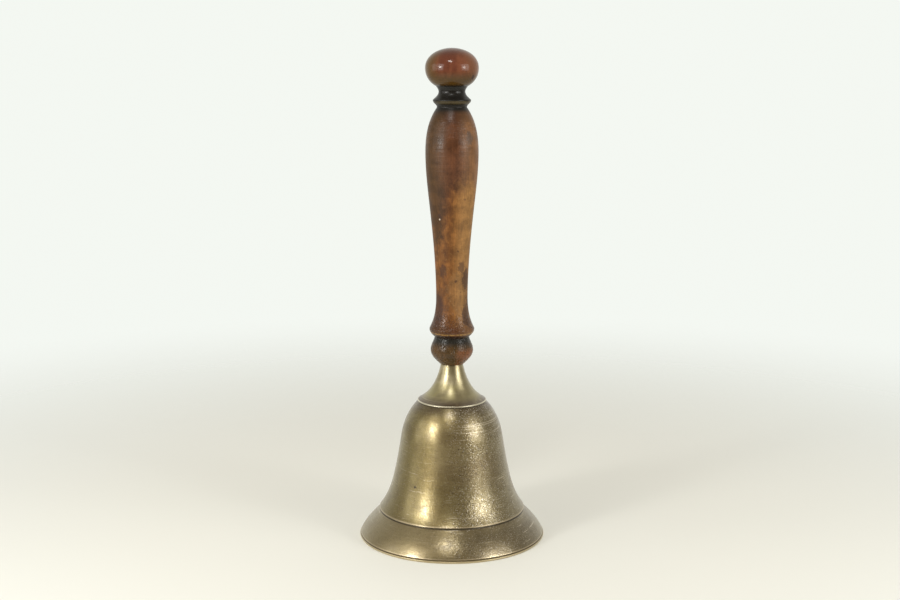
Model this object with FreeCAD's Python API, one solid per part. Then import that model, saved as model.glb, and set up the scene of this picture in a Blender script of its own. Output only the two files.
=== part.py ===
import FreeCAD, Part
import math
import os

from FreeCAD import Vector

# Hand bell: a brass bell on a turned wooden handle, with a swinging iron clapper inside.
# Frame: +Z up, origin on the bell's axis in the plane of its rim. Millimetres.
#
# Every outline is drawn from the top down in steps of (radius, height). A step is reached in a
# straight line, or on a smooth bow if it goes on to give two headings in degrees: the one that the
# bow leaves on and the one that it arrives on. Heading 0 is straight down, 90 straight outwards.

# Bell
MOUTH_RADIUS = 45.0
LIP_HEIGHT = 1.6
LIP_PROUD = 0.4
RING_HEIGHT = 13.8
RING_RADIUS = 35.4
SKIRT_TOP = 13.2
SKIRT_TOP_RADIUS = 34.8
WAIST_HEIGHT = 30.0
WAIST_RADIUS = 28.3
SHOULDER_HEIGHT = 49.8
SHOULDER_RADIUS = 24.6
CROWN_HEIGHT = 66.7
CROWN_RADIUS = 16.4
WALL = 2.0
CROWN_THICKNESS = 2.2
CROWN_FLAT_RADIUS = 12.0
GROOVE = 0.3

# Headings of the bell's side at its shoulder, its waist, the top of its skirt and its lip
SHOULDER_HEADING = 9
WAIST_HEADING = 13
SKIRT_HEADING = 46
LIP_HEADING = 26

# Neck
NECK_TOP = 85.0
NECK_TOP_RADIUS = 5.3
NECK_BEND = 74.0
NECK_BEND_RADIUS = 9.4
NECK_EDGE_RADIUS = 16.6
NECK_EDGE_HEIGHT = 0.7
SPIGOT_RADIUS = 3.8
SPIGOT_HEIGHT = 5.0

# Handle, from the knob down
HANDLE_TOP = 234.7
KNOB_MIDDLE = 225.4
KNOB_RADIUS = 12.6
KNOB_ROOT = 217.1
KNOB_ROOT_RADIUS = 7.5
COLLAR = 214.6
COLLAR_RADIUS = 6.3
HIGH_BEAD = 210.8
HIGH_BEAD_RADIUS = 9.0
HIGH_BEAD_FOOT = 208.8
HIGH_BEAD_FOOT_RADIUS = 7.9
GRIP_TOP = 207.3
GRIP_TOP_RADIUS = 7.1
GRIP_SWELL = 186.7
GRIP_RADIUS = 12.6
GRIP_TAPER = 155.3
GRIP_TAPER_RADIUS = 10.0
GRIP_WAIST = 117.3
GRIP_WAIST_RADIUS = 7.6
FLARE = 102.5
FLARE_RADIUS = 10.8
LOW_GROOVE = 98.3
LOW_GROOVE_RADIUS = 8.3
LOW_BEAD = 91.9
LOW_BEAD_RADIUS = 10.3
HANDLE_FOOT_RADIUS = 5.7

# Stud that ties handle, neck and bell together, and the journal that the clapper hangs on
STUD_RADIUS = 2.4
STUD_TOP = 145.0
STUD_POINT = 4.0
JOURNAL_RADIUS = 2.0
WASHER_RADIUS = 7.5
WASHER_THICKNESS = 1.0
NUT_WIDTH = 9.0
NUT_HEIGHT = 4.0
NUT_CHAMFER = 0.9
KEEPER_RADIUS = 3.1
KEEPER_THICKNESS = 0.8
PEEN_RADIUS = 2.7
PEEN_HEIGHT = 0.8

# Swivel yoke and clapper
STRAP = 1.6
STRAP_WIDTH = 7.0
YOKE_GAP = 6.8
END_PLAY = 0.3
PIVOT_HEIGHT = 51.0
PIN_RADIUS = 1.5
PIN_HEAD_RADIUS = 2.5
PIN_HEAD_HEIGHT = 1.0
EYE_RADIUS = 3.3
EYE_LENGTH = 6.0
SHANK_TOP_RADIUS = 1.9
SHANK_RADIUS = 2.3
BALL_RADIUS = 9.0
BALL_HEIGHT = 14.5
BALL_FLAT = 0.4

# Fits
CLOSE_FIT = 0.05
RUNNING_FIT = 0.05
CLEARANCE_HOLE = 0.2

AXIS_Z = Vector(0, 0, 1)
AXIS_X = Vector(1, 0, 0)
ORIGIN = Vector(0, 0, 0)

# Heights down the stud, below the crown of the bell
WASHER_TOP = CROWN_HEIGHT - CROWN_THICKNESS
NUT_TOP = WASHER_TOP - WASHER_THICKNESS
NUT_BOTTOM = NUT_TOP - NUT_HEIGHT
YOKE_TOP = NUT_BOTTOM - END_PLAY
KEEPER_TOP = YOKE_TOP - STRAP - END_PLAY
KEEPER_BOTTOM = KEEPER_TOP - KEEPER_THICKNESS


def heading(degrees):
    """Unit direction in the section plane, on a heading."""
    angle = math.radians(degrees)
    return Vector(math.sin(angle), 0, -math.cos(angle))


def bow(start, end, leaving, arriving):
    """Smooth edge from start to end that leaves and arrives on two headings."""
    turn = math.radians(arriving - leaving)
    reach = start.distanceToPoint(end) / (3 * math.cos(turn / 4) ** 2)
    curve = Part.BezierCurve()
    curve.setPoles([start, start + heading(leaving) * reach, end - heading(arriving) * reach, end])
    return curve.toShape()


def turned(steps):
    """Solid of revolution about Z from an outline's steps, closed by a straight line."""
    edges = []
    here = Vector(steps[0][0], 0, steps[0][1])
    for radius, height, *headings in steps[1:] + steps[:1]:
        there = Vector(radius, 0, height)
        if headings:
            edges.append(bow(here, there, *headings))
        else:
            edges.append(Part.LineSegment(here, there).toShape())
        here = there
    return Part.Face(Part.Wire(edges)).revolve(ORIGIN, AXIS_Z, 360)


def rod(radius, bottom, top):
    """Upright cylinder on the axis."""
    return Part.makeCylinder(radius, top - bottom, Vector(0, 0, bottom), AXIS_Z)


def inside(radius, height, surface_heading):
    """Point on the bell's inner surface, one wall behind a point of its outer surface."""
    angle = math.radians(surface_heading)
    return radius - WALL * math.cos(angle), height - WALL * math.sin(angle)


def make_wood_handle():
    """One turning: knob, collar with a sharp bead, long grip, flare and a low bead."""
    body = turned([
        (0, HANDLE_TOP),
        (KNOB_RADIUS, KNOB_MIDDLE, 90, 0),
        (KNOB_ROOT_RADIUS, KNOB_ROOT, 0, -64),
        (COLLAR_RADIUS, COLLAR, -32, 0),
        (HIGH_BEAD_RADIUS, HIGH_BEAD, 0, 46),
        (HIGH_BEAD_FOOT_RADIUS, HIGH_BEAD_FOOT, 8, -49),
        (GRIP_TOP_RADIUS, GRIP_TOP, -49, 0),
        (GRIP_RADIUS, GRIP_SWELL, 36, 0),
        (GRIP_TAPER_RADIUS, GRIP_TAPER, 0, -6),
        (GRIP_WAIST_RADIUS, GRIP_WAIST, -6, 0),
        (FLARE_RADIUS, FLARE, 0, 29),
        (LOW_GROOVE_RADIUS, LOW_GROOVE, 9, -50),
        (LOW_BEAD_RADIUS, LOW_BEAD, 12, 0),
        (HANDLE_FOOT_RADIUS, NECK_TOP, 0, -47),
        (0, NECK_TOP),
    ])
    socket = rod(SPIGOT_RADIUS + CLOSE_FIT, NECK_TOP - 1, NECK_TOP + SPIGOT_HEIGHT + CLEARANCE_HOLE)
    pilot = rod(STUD_RADIUS + CLOSE_FIT, NECK_TOP, STUD_TOP + CLEARANCE_HOLE)
    return body.cut(socket).cut(pilot)


def make_brass_neck():
    """Trumpet-shaped neck that spreads onto the bell, with a spigot that centres the handle."""
    seat = CROWN_HEIGHT
    spigot_top = NECK_TOP + SPIGOT_HEIGHT
    body = turned([
        (0, spigot_top),
        (SPIGOT_RADIUS, spigot_top),
        (SPIGOT_RADIUS, NECK_TOP),
        (NECK_TOP_RADIUS, NECK_TOP),
        (NECK_BEND_RADIUS, NECK_BEND, 11, 32),
        (NECK_EDGE_RADIUS, seat + NECK_EDGE_HEIGHT, 32, 63),
        (NECK_EDGE_RADIUS, seat),
        (0, seat),
    ])
    return body.cut(rod(STUD_RADIUS + CLEARANCE_HOLE, seat - 1, spigot_top + 1))


def make_bell_shell():
    """Open-mouthed shell with a flat crown, a turned step above the skirt and a plain lip."""
    waist = (WAIST_RADIUS, WAIST_HEIGHT)
    shoulder = (SHOULDER_RADIUS, SHOULDER_HEIGHT)
    lip_top = (MOUTH_RADIUS - LIP_PROUD, LIP_HEIGHT)
    outer = turned([
        (0, CROWN_HEIGHT),
        (CROWN_RADIUS, CROWN_HEIGHT),
        (*shoulder, 46, SHOULDER_HEADING),
        (*waist, SHOULDER_HEADING, WAIST_HEADING),
        (RING_RADIUS, RING_HEIGHT, WAIST_HEADING, 38),
        (SKIRT_TOP_RADIUS, RING_HEIGHT - GROOVE),
        (SKIRT_TOP_RADIUS, SKIRT_TOP),
        (*lip_top, SKIRT_HEADING, LIP_HEADING),
        (lip_top[0] - GROOVE, LIP_HEIGHT - GROOVE),
        (MOUTH_RADIUS, LIP_HEIGHT / 2, 60, 0),
        (MOUTH_RADIUS - LIP_PROUD, 0, 0, -50),
        (0, 0),
    ])
    mouth_radius, mouth_height = inside(*lip_top, LIP_HEADING)
    hollow = turned([
        (0, WASHER_TOP),
        (CROWN_FLAT_RADIUS, WASHER_TOP),
        (*inside(*shoulder, SHOULDER_HEADING), 90, SHOULDER_HEADING),
        (*inside(*waist, WAIST_HEADING), SHOULDER_HEADING, WAIST_HEADING),
        (*inside(SKIRT_TOP_RADIUS, SKIRT_TOP, SKIRT_HEADING), WAIST_HEADING, SKIRT_HEADING),
        (mouth_radius, mouth_height, SKIRT_HEADING, LIP_HEADING),
        (mouth_radius, -1),
        (0, -1),
    ])
    hole = rod(STUD_RADIUS + CLEARANCE_HOLE, WASHER_TOP - 1, CROWN_HEIGHT + 1)
    return outer.cut(hollow).cut(hole)


def make_stud():
    """Steel stud: point in the wood, plain journal below the nut, end peened over the keeper."""
    return turned([
        (0, STUD_TOP),
        (STUD_RADIUS, STUD_TOP - STUD_POINT),
        (STUD_RADIUS, NUT_BOTTOM),
        (JOURNAL_RADIUS, NUT_BOTTOM),
        (JOURNAL_RADIUS, KEEPER_BOTTOM),
        (PEEN_RADIUS, KEEPER_BOTTOM),
        (0, KEEPER_BOTTOM - PEEN_HEIGHT, 0, -90),
    ])


def make_washer(radius, hole_radius, top, thickness):
    """Flat round washer on the stud."""
    bottom = top - thickness
    return rod(radius, bottom, top).cut(rod(hole_radius, bottom - 1, top + 1))


def make_crown_nut():
    """Square nut, its lower corners chamfered."""
    half = NUT_WIDTH / 2
    block = Part.makeBox(NUT_WIDTH, NUT_WIDTH, NUT_HEIGHT, Vector(-half, -half, NUT_BOTTOM))
    corner = half * math.sqrt(2)
    chamfer = turned([
        (0, NUT_TOP),
        (corner, NUT_TOP),
        (corner, NUT_BOTTOM + NUT_CHAMFER),
        (half, NUT_BOTTOM),
        (0, NUT_BOTTOM),
    ])
    bore = rod(STUD_RADIUS + CLOSE_FIT, NUT_BOTTOM - 1, NUT_TOP + 1)
    return block.common(chamfer).cut(bore)


def make_swivel_yoke():
    """Iron strap bent into a stirrup, which turns freely on the stud's journal."""
    leg_outside = YOKE_GAP / 2 + STRAP
    leg_end = PIVOT_HEIGHT - STRAP_WIDTH / 2
    height = YOKE_TOP - leg_end
    corner = Vector(-leg_outside, -STRAP_WIDTH / 2, leg_end)
    block = Part.makeBox(2 * leg_outside, STRAP_WIDTH, height, corner)
    top_edges = [
        edge for edge in block.Edges
        if abs(edge.CenterOfMass.z - YOKE_TOP) < CLOSE_FIT and abs(edge.CenterOfMass.y) < CLOSE_FIT
    ]
    block = block.makeFillet(2 * STRAP, top_edges)
    gap = Part.makeBox(
        YOKE_GAP, STRAP_WIDTH + 2, height, Vector(-YOKE_GAP / 2, corner.y - 1, leg_end - STRAP)
    )
    across = Vector(-leg_outside, 0, PIVOT_HEIGHT)
    leg_ends = Part.makeCylinder(STRAP_WIDTH / 2, 2 * leg_outside, across, AXIS_X)
    above_pivot = Part.makeBox(
        2 * leg_outside, STRAP_WIDTH, YOKE_TOP - PIVOT_HEIGHT, corner + AXIS_Z * (PIVOT_HEIGHT - leg_end)
    )
    strap = block.common(leg_ends.fuse(above_pivot)).cut(gap).removeSplitter()
    journal_hole = rod(JOURNAL_RADIUS + RUNNING_FIT, leg_end, YOKE_TOP + 1)
    pin_hole = Part.makeCylinder(PIN_RADIUS, 2 * leg_outside, across, AXIS_X)
    return strap.cut(journal_hole).cut(pin_hole)


def make_clapper_pin():
    """Rivet through both legs of the yoke, headed at each end."""
    half = YOKE_GAP / 2 + STRAP
    upright = turned([
        (0, half + PIN_HEAD_HEIGHT),
        (PIN_HEAD_RADIUS, half, 90, 0),
        (PIN_RADIUS, half),
        (PIN_RADIUS, -half),
        (PIN_HEAD_RADIUS, -half),
        (0, -half - PIN_HEAD_HEIGHT, 0, -90),
    ])
    upright.rotate(ORIGIN, Vector(0, 1, 0), 90)
    upright.translate(Vector(0, 0, PIVOT_HEIGHT))
    return upright.copy()


def make_clapper_rod():
    """Forged shank with an eye at the top, its lower end peened under the ball."""
    ball_bottom = BALL_HEIGHT - BALL_RADIUS + BALL_FLAT
    shank = turned([
        (0, PIVOT_HEIGHT),
        (SHANK_TOP_RADIUS, PIVOT_HEIGHT),
        (SHANK_TOP_RADIUS, PIVOT_HEIGHT - EYE_RADIUS),
        (SHANK_RADIUS, BALL_HEIGHT + BALL_RADIUS),
        (SHANK_RADIUS, ball_bottom),
        (PEEN_RADIUS, ball_bottom),
        (0, ball_bottom - PEEN_HEIGHT, 0, -90),
    ])
    eye_start = Vector(-EYE_LENGTH / 2, 0, PIVOT_HEIGHT)
    eye = Part.makeCylinder(EYE_RADIUS, EYE_LENGTH, eye_start, AXIS_X)
    bore = Part.makeCylinder(PIN_RADIUS + RUNNING_FIT, EYE_LENGTH, eye_start, AXIS_X)
    return shank.fuse(eye).cut(bore)


def make_clapper_ball():
    """Cast iron ball, bored for the shank, with a small flat under it for the peened end."""
    ball = Part.makeSphere(BALL_RADIUS, Vector(0, 0, BALL_HEIGHT))
    flat = BALL_HEIGHT - BALL_RADIUS + BALL_FLAT
    below = rod(BALL_RADIUS, flat - BALL_RADIUS, flat)
    bore = rod(SHANK_RADIUS, flat - 1, BALL_HEIGHT + BALL_RADIUS + 1)
    return ball.cut(below).cut(bore)


PARTS = {
    "wood_handle": make_wood_handle(),
    "brass_neck": make_brass_neck(),
    "bell_shell": make_bell_shell(),
    "handle_stud": make_stud(),
    "crown_washer": make_washer(WASHER_RADIUS, STUD_RADIUS + CLEARANCE_HOLE, WASHER_TOP, WASHER_THICKNESS),
    "crown_nut": make_crown_nut(),
    "swivel_yoke": make_swivel_yoke(),
    "keeper_washer": make_washer(KEEPER_RADIUS, JOURNAL_RADIUS, KEEPER_TOP, KEEPER_THICKNESS),
    "clapper_pin": make_clapper_pin(),
    "clapper_rod": make_clapper_rod(),
    "clapper_ball": make_clapper_ball(),
}

os.makedirs("parts", exist_ok=True)
for name, shape in PARTS.items():
    solid = shape.Solids[0]
    solid.exportStep(f"parts/{name}.step")
    print(name, len(shape.Solids), shape.isValid(), round(shape.Volume), shape.BoundBox)
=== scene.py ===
"""Looks for the brass hand bell: turned meshes, aged brass and worn wood, floor, lights, camera."""

import math

import bmesh
import bpy
from mathutils import Matrix, Vector, noise


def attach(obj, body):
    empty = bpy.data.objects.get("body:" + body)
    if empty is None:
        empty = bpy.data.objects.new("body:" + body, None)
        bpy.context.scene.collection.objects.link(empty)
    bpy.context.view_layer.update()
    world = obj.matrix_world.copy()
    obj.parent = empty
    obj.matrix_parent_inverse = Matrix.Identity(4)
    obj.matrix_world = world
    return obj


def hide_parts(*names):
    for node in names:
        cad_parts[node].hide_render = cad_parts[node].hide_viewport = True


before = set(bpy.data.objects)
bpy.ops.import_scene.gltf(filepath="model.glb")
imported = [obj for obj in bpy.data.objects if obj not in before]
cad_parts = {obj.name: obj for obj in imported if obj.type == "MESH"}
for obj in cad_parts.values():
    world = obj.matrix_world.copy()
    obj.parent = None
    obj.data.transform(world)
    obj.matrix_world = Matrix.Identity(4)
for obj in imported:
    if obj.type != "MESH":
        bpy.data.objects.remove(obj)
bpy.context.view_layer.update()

MM = 0.001
AROUND = 224  # facets round the bell
TURNED = 144  # facets round the handle and the neck

# The bell in millimetres: heights above the floor, radii about its axis, and depths. SHOULDER and
# WAIST are places on the outside of the bell, as (radius, height).
HANDLE_TOP = 234.7
NECK_TOP = 85.0
CROWN = 66.7
CROWN_UNDER = 64.5
BORE = 2.6
SHOULDER = (24.6, 49.8)
WAIST = (28.3, 30.0)
RING_HEIGHT = 13.8
RING_RADIUS = 35.4
SKIRT_TOP = 13.2
SKIRT_TOP_RADIUS = 34.8
LIP_HEIGHT = 1.6
LIP_TOP_RADIUS = 44.6
MOUTH_RADIUS = 45.0
WALL = 2.0
GROOVE = 0.3
PIVOT = 51.0
STRIKE_HEIGHT = 19.7
STRIKE_RADIUS = 28.8
BALL_MIDDLE = 14.5
BALL_RADIUS = 9.0
BALL_FLAT = 5.9
SHANK = 2.3

# Studio: the floor's rings and fade in metres from the axis, its glow, the room's light on the bell
# from each side, and the room's own colour as the camera sees it.
FLOOR_RINGS = (0.043, 0.1, 0.3, 1.0, 3.0)
FLOOR_FACETS = 96
FLOOR_FADE = 0.10
FLOOR_END = 0.60
FLOOR_GLOW = 0.16
ROOM_FRONT = (0.175, 0.135, 0.090)
ROOM_SIDE = (0.34, 0.31, 0.26)
ROOM_BEHIND = (0.78, 0.77, 0.72)
ROOM_SEEN = (0.905, 0.935, 0.885)

# Outlines: (radius, height) in millimetres, reached in a straight line, or on a bow if two headings
# in degrees follow. Heading 0 is straight down and 90 straight outwards.
WOOD_OUTLINE = [
    (0, HANDLE_TOP),
    (12.6, 225.4, 90, 0),
    (7.5, 217.1, 0, -64),
    (6.3, 214.6, -32, 0),
    (9.0, 210.8, 0, 46),
    (7.9, 208.8, 8, -49),
    (7.1, 207.3, -49, 0),
    (12.6, 186.7, 36, 0),
    (10.0, 155.3, 0, -6),
    (7.6, 117.3, -6, 0),
    (10.8, 102.5, 0, 29),
    (8.3, 98.3, 9, -50),
    (10.3, 91.9, 12, 0),
    (5.7, NECK_TOP, 0, -47),
    (3.85, NECK_TOP),
    (3.85, NECK_TOP + 5.2),
    (2.45, NECK_TOP + 5.2),
    (2.45, 145.2),
    (0, 145.2),
]
NECK_OUTLINE = [
    (BORE, NECK_TOP + 5),
    (3.8, NECK_TOP + 5),
    (3.8, NECK_TOP),
    (5.3, NECK_TOP),
    (9.4, 74.0, 11, 32),
    (16.6, CROWN + 0.7, 32, 63),
    (16.6, CROWN),
    (BORE, CROWN),
    (BORE, NECK_TOP + 5),
]


def heading(degrees):
    """Unit direction in the (radius, height) plane, on a heading."""
    angle = math.radians(degrees)
    return Vector((math.sin(angle), -math.cos(angle)))


def bow(start, end, leaving, arriving, spacing):
    """Points of the smooth curve from start to end that leaves and arrives on two headings."""
    turn = math.radians(arriving - leaving)
    reach = (end - start).length / (3 * math.cos(turn / 4) ** 2)
    poles = (start, start + heading(leaving) * reach, end - heading(arriving) * reach, end)
    count = max(6, math.ceil((end - start).length / spacing))
    points = []
    for i in range(count + 1):
        t = i / count
        weights = ((1 - t) ** 3, 3 * (1 - t) ** 2 * t, 3 * (1 - t) * t * t, t ** 3)
        points.append(sum((p * w for p, w in zip(poles, weights)), Vector((0, 0))))
    return points


def trimmed(points, length):
    """The points without the last stretch of that length."""
    points = list(points)
    while len(points) > 2 and (points[-1] - points[-2]).length < length:
        length -= (points[-1] - points[-2]).length
        points.pop()
    step = points[-1] - points[-2]
    points[-1] = points[-1] - step.normalized() * min(length, step.length * 0.9)
    return points


def path_length(points):
    """Length along the points."""
    return sum((b - a).length for a, b in zip(points, points[1:]))


def outline(steps, rounding=0.15, spacing=0.7):
    """Dense points along an outline's steps, with every sharp corner rounded a little."""
    runs = []
    here = Vector(steps[0])
    for radius, height, *headings in steps[1:]:
        there = Vector((radius, height))
        if headings:
            runs.append(bow(here, there, *headings, spacing))
        else:
            count = max(1, math.ceil((there - here).length / (4 * spacing)))
            runs.append([here.lerp(there, i / count) for i in range(count + 1)])
        here = there
    points = list(runs[0])
    for run in runs[1:]:
        run = list(run)
        arriving = (points[-1] - points[-2]).normalized()
        leaving = (run[1] - run[0]).normalized()
        if arriving.dot(leaving) < math.cos(math.radians(20)):
            corner = run[0]
            cut = min(rounding, 0.4 * path_length(points), 0.4 * path_length(run))
            points = trimmed(points, cut)
            run = trimmed(run[::-1], cut)[::-1]
            a, b = points[-1], run[0]
            for t in (0.25, 0.5, 0.75):
                points.append(a * (1 - t) ** 2 + corner * 2 * t * (1 - t) + b * t * t)
            points += run
        else:
            points += run[1:]
    return points


def relief_of(points, reach=0.7):
    """For each point, how far it stands proud (+) or lies back (-) of the outline around it."""
    values = []
    for i, point in enumerate(points):
        near = [q for q in points[max(0, i - 12):i + 13] if (q - point).length < reach]
        middle = sum(near, Vector((0, 0))) / len(near)
        before = points[max(0, i - 1)]
        after = points[min(len(points) - 1, i + 1)]
        along = (after - before).normalized()
        values.append((point - middle).dot(Vector((-along.y, along.x))))
    return values


def lathe(name, points, around=AROUND, shape=None):
    """Mesh object of revolution from an outline in millimetres. An outline that starts or ends on the
    axis closes there, and one whose ends meet closes on itself. shape moves a point (x, y, z)."""
    mesh = bpy.data.meshes.new(name)
    form = bmesh.new()
    relief_layer = form.verts.layers.float.new("relief")
    closed = (points[0] - points[-1]).length < 1e-6
    used = points[:-1] if closed else points
    relief = relief_of(used)
    rings = []
    for point, proud in zip(used, relief):
        radius, height = point
        count = 1 if radius < 1e-6 else around
        ring = []
        for i in range(count):
            angle = 2 * math.pi * i / around
            place = Vector((radius * math.cos(angle), radius * math.sin(angle), height))
            if shape and count > 1:
                place = shape(place)
            vert = form.verts.new(place * MM)
            vert[relief_layer] = proud
            ring.append(vert)
        rings.append(ring)
    pairs = list(zip(rings, rings[1:]))
    if closed:
        pairs.append((rings[-1], rings[0]))
    for upper, lower in pairs:
        for i in range(around):
            j = (i + 1) % around
            if len(upper) == 1:
                form.faces.new((upper[0], lower[i], lower[j]))
            elif len(lower) == 1:
                form.faces.new((upper[j], upper[i], lower[0]))
            else:
                form.faces.new((upper[j], upper[i], lower[i], lower[j]))
    bmesh.ops.recalc_face_normals(form, faces=form.faces)
    form.to_mesh(mesh)
    form.free()
    for face in mesh.polygons:
        face.use_smooth = True
    made = bpy.data.objects.new(name, mesh)
    bpy.context.scene.collection.objects.link(made)
    return made


def settle(piece, node, body, material):
    """Finishes a piece: its material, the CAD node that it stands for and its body."""
    piece.data.materials.clear()
    piece.data.materials.append(material)
    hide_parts(node)
    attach(piece, body)


# Materials


class Shader:
    """One node material. Most of its methods add nodes and return an output socket."""

    def __init__(self, name, **surface):
        self.material = bpy.data.materials.new(name)
        self.material.use_nodes = True
        self.tree = self.material.node_tree
        self.tree.nodes.clear()
        self.surface = self.tree.nodes.new("ShaderNodeBsdfPrincipled")
        self.output = self.tree.nodes.new("ShaderNodeOutputMaterial")
        self.tree.links.new(self.surface.outputs[0], self.output.inputs["Surface"])
        for socket, value in surface.items():
            self.surface.inputs[socket.replace("_", " ")].default_value = value
        self.place = self.node("ShaderNodeTexCoord", "Object")
        self.x, self.y, self.z = self.split(self.scaled(1 / MM, 1 / MM, 1 / MM))

    def node(self, kind, output=0, inputs=(), **settings):
        """Adds a node, with its inputs and settings, and returns one of its outputs."""
        made = self.tree.nodes.new(kind)
        for key, value in settings.items():
            setattr(made, key, value)
        for key, value in dict(inputs).items():
            self.put(made.inputs[key], value)
        return made.outputs[output]

    def put(self, socket, value):
        """Links a node's output to a socket, or sets the socket to a plain value."""
        if isinstance(value, bpy.types.NodeSocket):
            self.tree.links.new(value, socket)
        else:
            socket.default_value = value

    def scaled(self, x, y, z, turn=(0, 0, 0)):
        """The place on the object, stretched along each axis and turned."""
        inputs = {"Vector": self.place, "Scale": (x, y, z), "Rotation": turn}
        return self.node("ShaderNodeMapping", inputs=inputs)

    def split(self, vector):
        """The three parts of a vector."""
        parts = self.node("ShaderNodeSeparateXYZ", inputs={0: vector}).node
        return parts.outputs[0], parts.outputs[1], parts.outputs[2]

    def math(self, operation, a, b=0.0):
        return self.node("ShaderNodeMath", inputs={0: a, 1: b}, operation=operation)

    def times(self, product, *factors):
        for factor in factors:
            product = self.math("MULTIPLY", product, factor)
        return product

    def plus(self, total, *terms):
        for term in terms:
            total = self.math("ADD", total, term)
        return total

    def swing(self, value, reach):
        """A noise as a swing to both sides of zero."""
        return self.times(self.math("SUBTRACT", value, 0.5), reach)

    def squared(self, value):
        return self.math("POWER", value, 2.0)

    def fade(self, value, low, high, bottom=0.0, top=1.0):
        """Smooth step of value from low to high."""
        inputs = {"Value": value, "From Min": low, "From Max": high, "To Min": bottom, "To Max": top}
        return self.node("ShaderNodeMapRange", inputs=inputs, interpolation_type="SMOOTHSTEP")

    def band(self, low, high, soft):
        """1 between two heights in millimetres, fading out over soft."""
        rise = self.fade(self.z, low - soft, low + soft)
        fall = self.fade(self.z, high - soft, high + soft, 1.0, 0.0)
        return self.times(rise, fall)

    def facing(self, degrees):
        """Cosine of the angle about the axis from a bearing. Bearing 0 is -Y and 90 is +X."""
        angle = math.radians(degrees)
        along = self.plus(self.times(self.x, math.sin(angle)), self.times(self.y, -math.cos(angle)))
        away = self.math("SQRT", self.plus(self.squared(self.x), self.squared(self.y)))
        return self.math("DIVIDE", along, away)

    def noise(self, x, y, z, detail=4.0, rough=0.55, twist=0.0, turn=(0, 0, 0)):
        """Noise with x, y and z features in a metre."""
        inputs = {
            "Vector": self.scaled(x, y, z, turn), "Scale": 1.0, "Detail": detail,
            "Roughness": rough, "Distortion": twist,
        }
        return self.node("ShaderNodeTexNoise", inputs=inputs)

    def mix(self, factor, a, b, blend="MIX"):
        inputs = {0: factor, 6: a, 7: b}
        return self.node("ShaderNodeMix", 2, inputs, data_type="RGBA", blend_type=blend)

    def blend(self, factor, a, b):
        """A number from a to b."""
        return self.node("ShaderNodeMix", 0, {0: factor, 2: a, 3: b}, data_type="FLOAT")

    def inward(self):
        """1 where the surface faces the axis, as the inside of a bell does."""
        across, ahead, _ = self.split(self.place.node.outputs["Normal"])
        outward = self.plus(self.times(across, self.x), self.times(ahead, self.y))
        return self.fade(outward, -0.5, -3.0)

    def relief(self):
        """How far the surface stands proud of the outline around it, as lathe() stored it."""
        return self.node("ShaderNodeAttribute", "Fac", attribute_name="relief")

    def spot(self, x, y, z, radius, tall=1.0, ragged=None):
        """1 at a point in millimetres, fading out at radius. tall stretches it in height, and
        ragged is a noise that breaks up its edge."""
        up = self.math("DIVIDE", self.math("SUBTRACT", self.z, z), tall)
        across = self.math("SUBTRACT", self.x, x)
        ahead = self.math("SUBTRACT", self.y, y)
        away = self.math("SQRT", self.plus(self.squared(up), self.squared(across), self.squared(ahead)))
        if ragged is not None:
            away = self.plus(away, self.swing(ragged, radius * 3.0))
        return self.fade(away, radius * 0.6, radius, 1.0, 0.0)

    def bump(self, height, strength, distance, normal=None):
        """Raises the surface by a noise, over distance in millimetres, on top of a normal."""
        inputs = {"Height": height, "Strength": strength, "Distance": distance * MM}
        if normal is not None:
            inputs["Normal"] = normal
        return self.node("ShaderNodeBump", inputs=inputs)

    def finish(self, color, roughness, normal):
        """Links what the surface shows, and returns the material."""
        self.put(self.surface.inputs["Base Color"], color)
        self.put(self.surface.inputs["Roughness"], roughness)
        self.put(self.surface.inputs["Normal"], normal)
        return self.material


def rgb(red, green, blue):
    return (red, green, blue, 1.0)


# The handle's colours, and where dark old finish is left on its grip: x, y, z and radius in
# millimetres, how much taller than wide, and how strong.
WOOD = {
    "stain": rgb(0.085, 0.033, 0.014),
    "stain_thin": rgb(0.145, 0.054, 0.022),
    "stain_left": rgb(0.085, 0.043, 0.012),
    "stain_right": rgb(0.290, 0.140, 0.055),
    "knob": rgb(0.150, 0.047, 0.026),
    "knob_thin": rgb(0.218, 0.076, 0.040),
    "knob_left": rgb(0.125, 0.072, 0.026),
    "knob_right": rgb(0.300, 0.145, 0.075),
    "knob_foot": rgb(0.090, 0.047, 0.008),
    # painted reflection: darker on top of the knob
    "knob_top": rgb(0.070, 0.035, 0.024),
    "bare": rgb(0.170, 0.062, 0.012),
    "bare_pale": rgb(0.250, 0.100, 0.022),
    "bare_right": rgb(0.385, 0.198, 0.060),
    "thumb": rgb(0.380, 0.205, 0.075),
    "pore": rgb(0.035, 0.018, 0.010),
    "nick": rgb(0.055, 0.026, 0.014),
    "fleck": rgb(0.470, 0.290, 0.130),
    "old_finish": rgb(0.050, 0.023, 0.018),
    "smudge": rgb(0.085, 0.085, 0.083),
    "flare": rgb(0.090, 0.038, 0.020),
    "rim": rgb(0.380, 0.210, 0.060),
    "under_rim": rgb(0.022, 0.015, 0.010),
    "bead": rgb(0.075, 0.042, 0.014),
    "bead_pale": rgb(0.115, 0.060, 0.020),
    "bead_warm": rgb(0.260, 0.095, 0.036),
    "bead_top": rgb(0.022, 0.020, 0.015),
    "smoke": rgb(0.012, 0.011, 0.009),
    # rubbed finish on the collar's bead, also a painted highlight
    "rubbed": rgb(0.100, 0.075, 0.030),
    # dirt, and painted shade, in the turned cuts
    "grime_and_shade": rgb(0.012, 0.010, 0.008),
    "paint": rgb(0.700, 0.600, 0.480),
    "dent": rgb(0.055, 0.024, 0.016),
}
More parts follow.
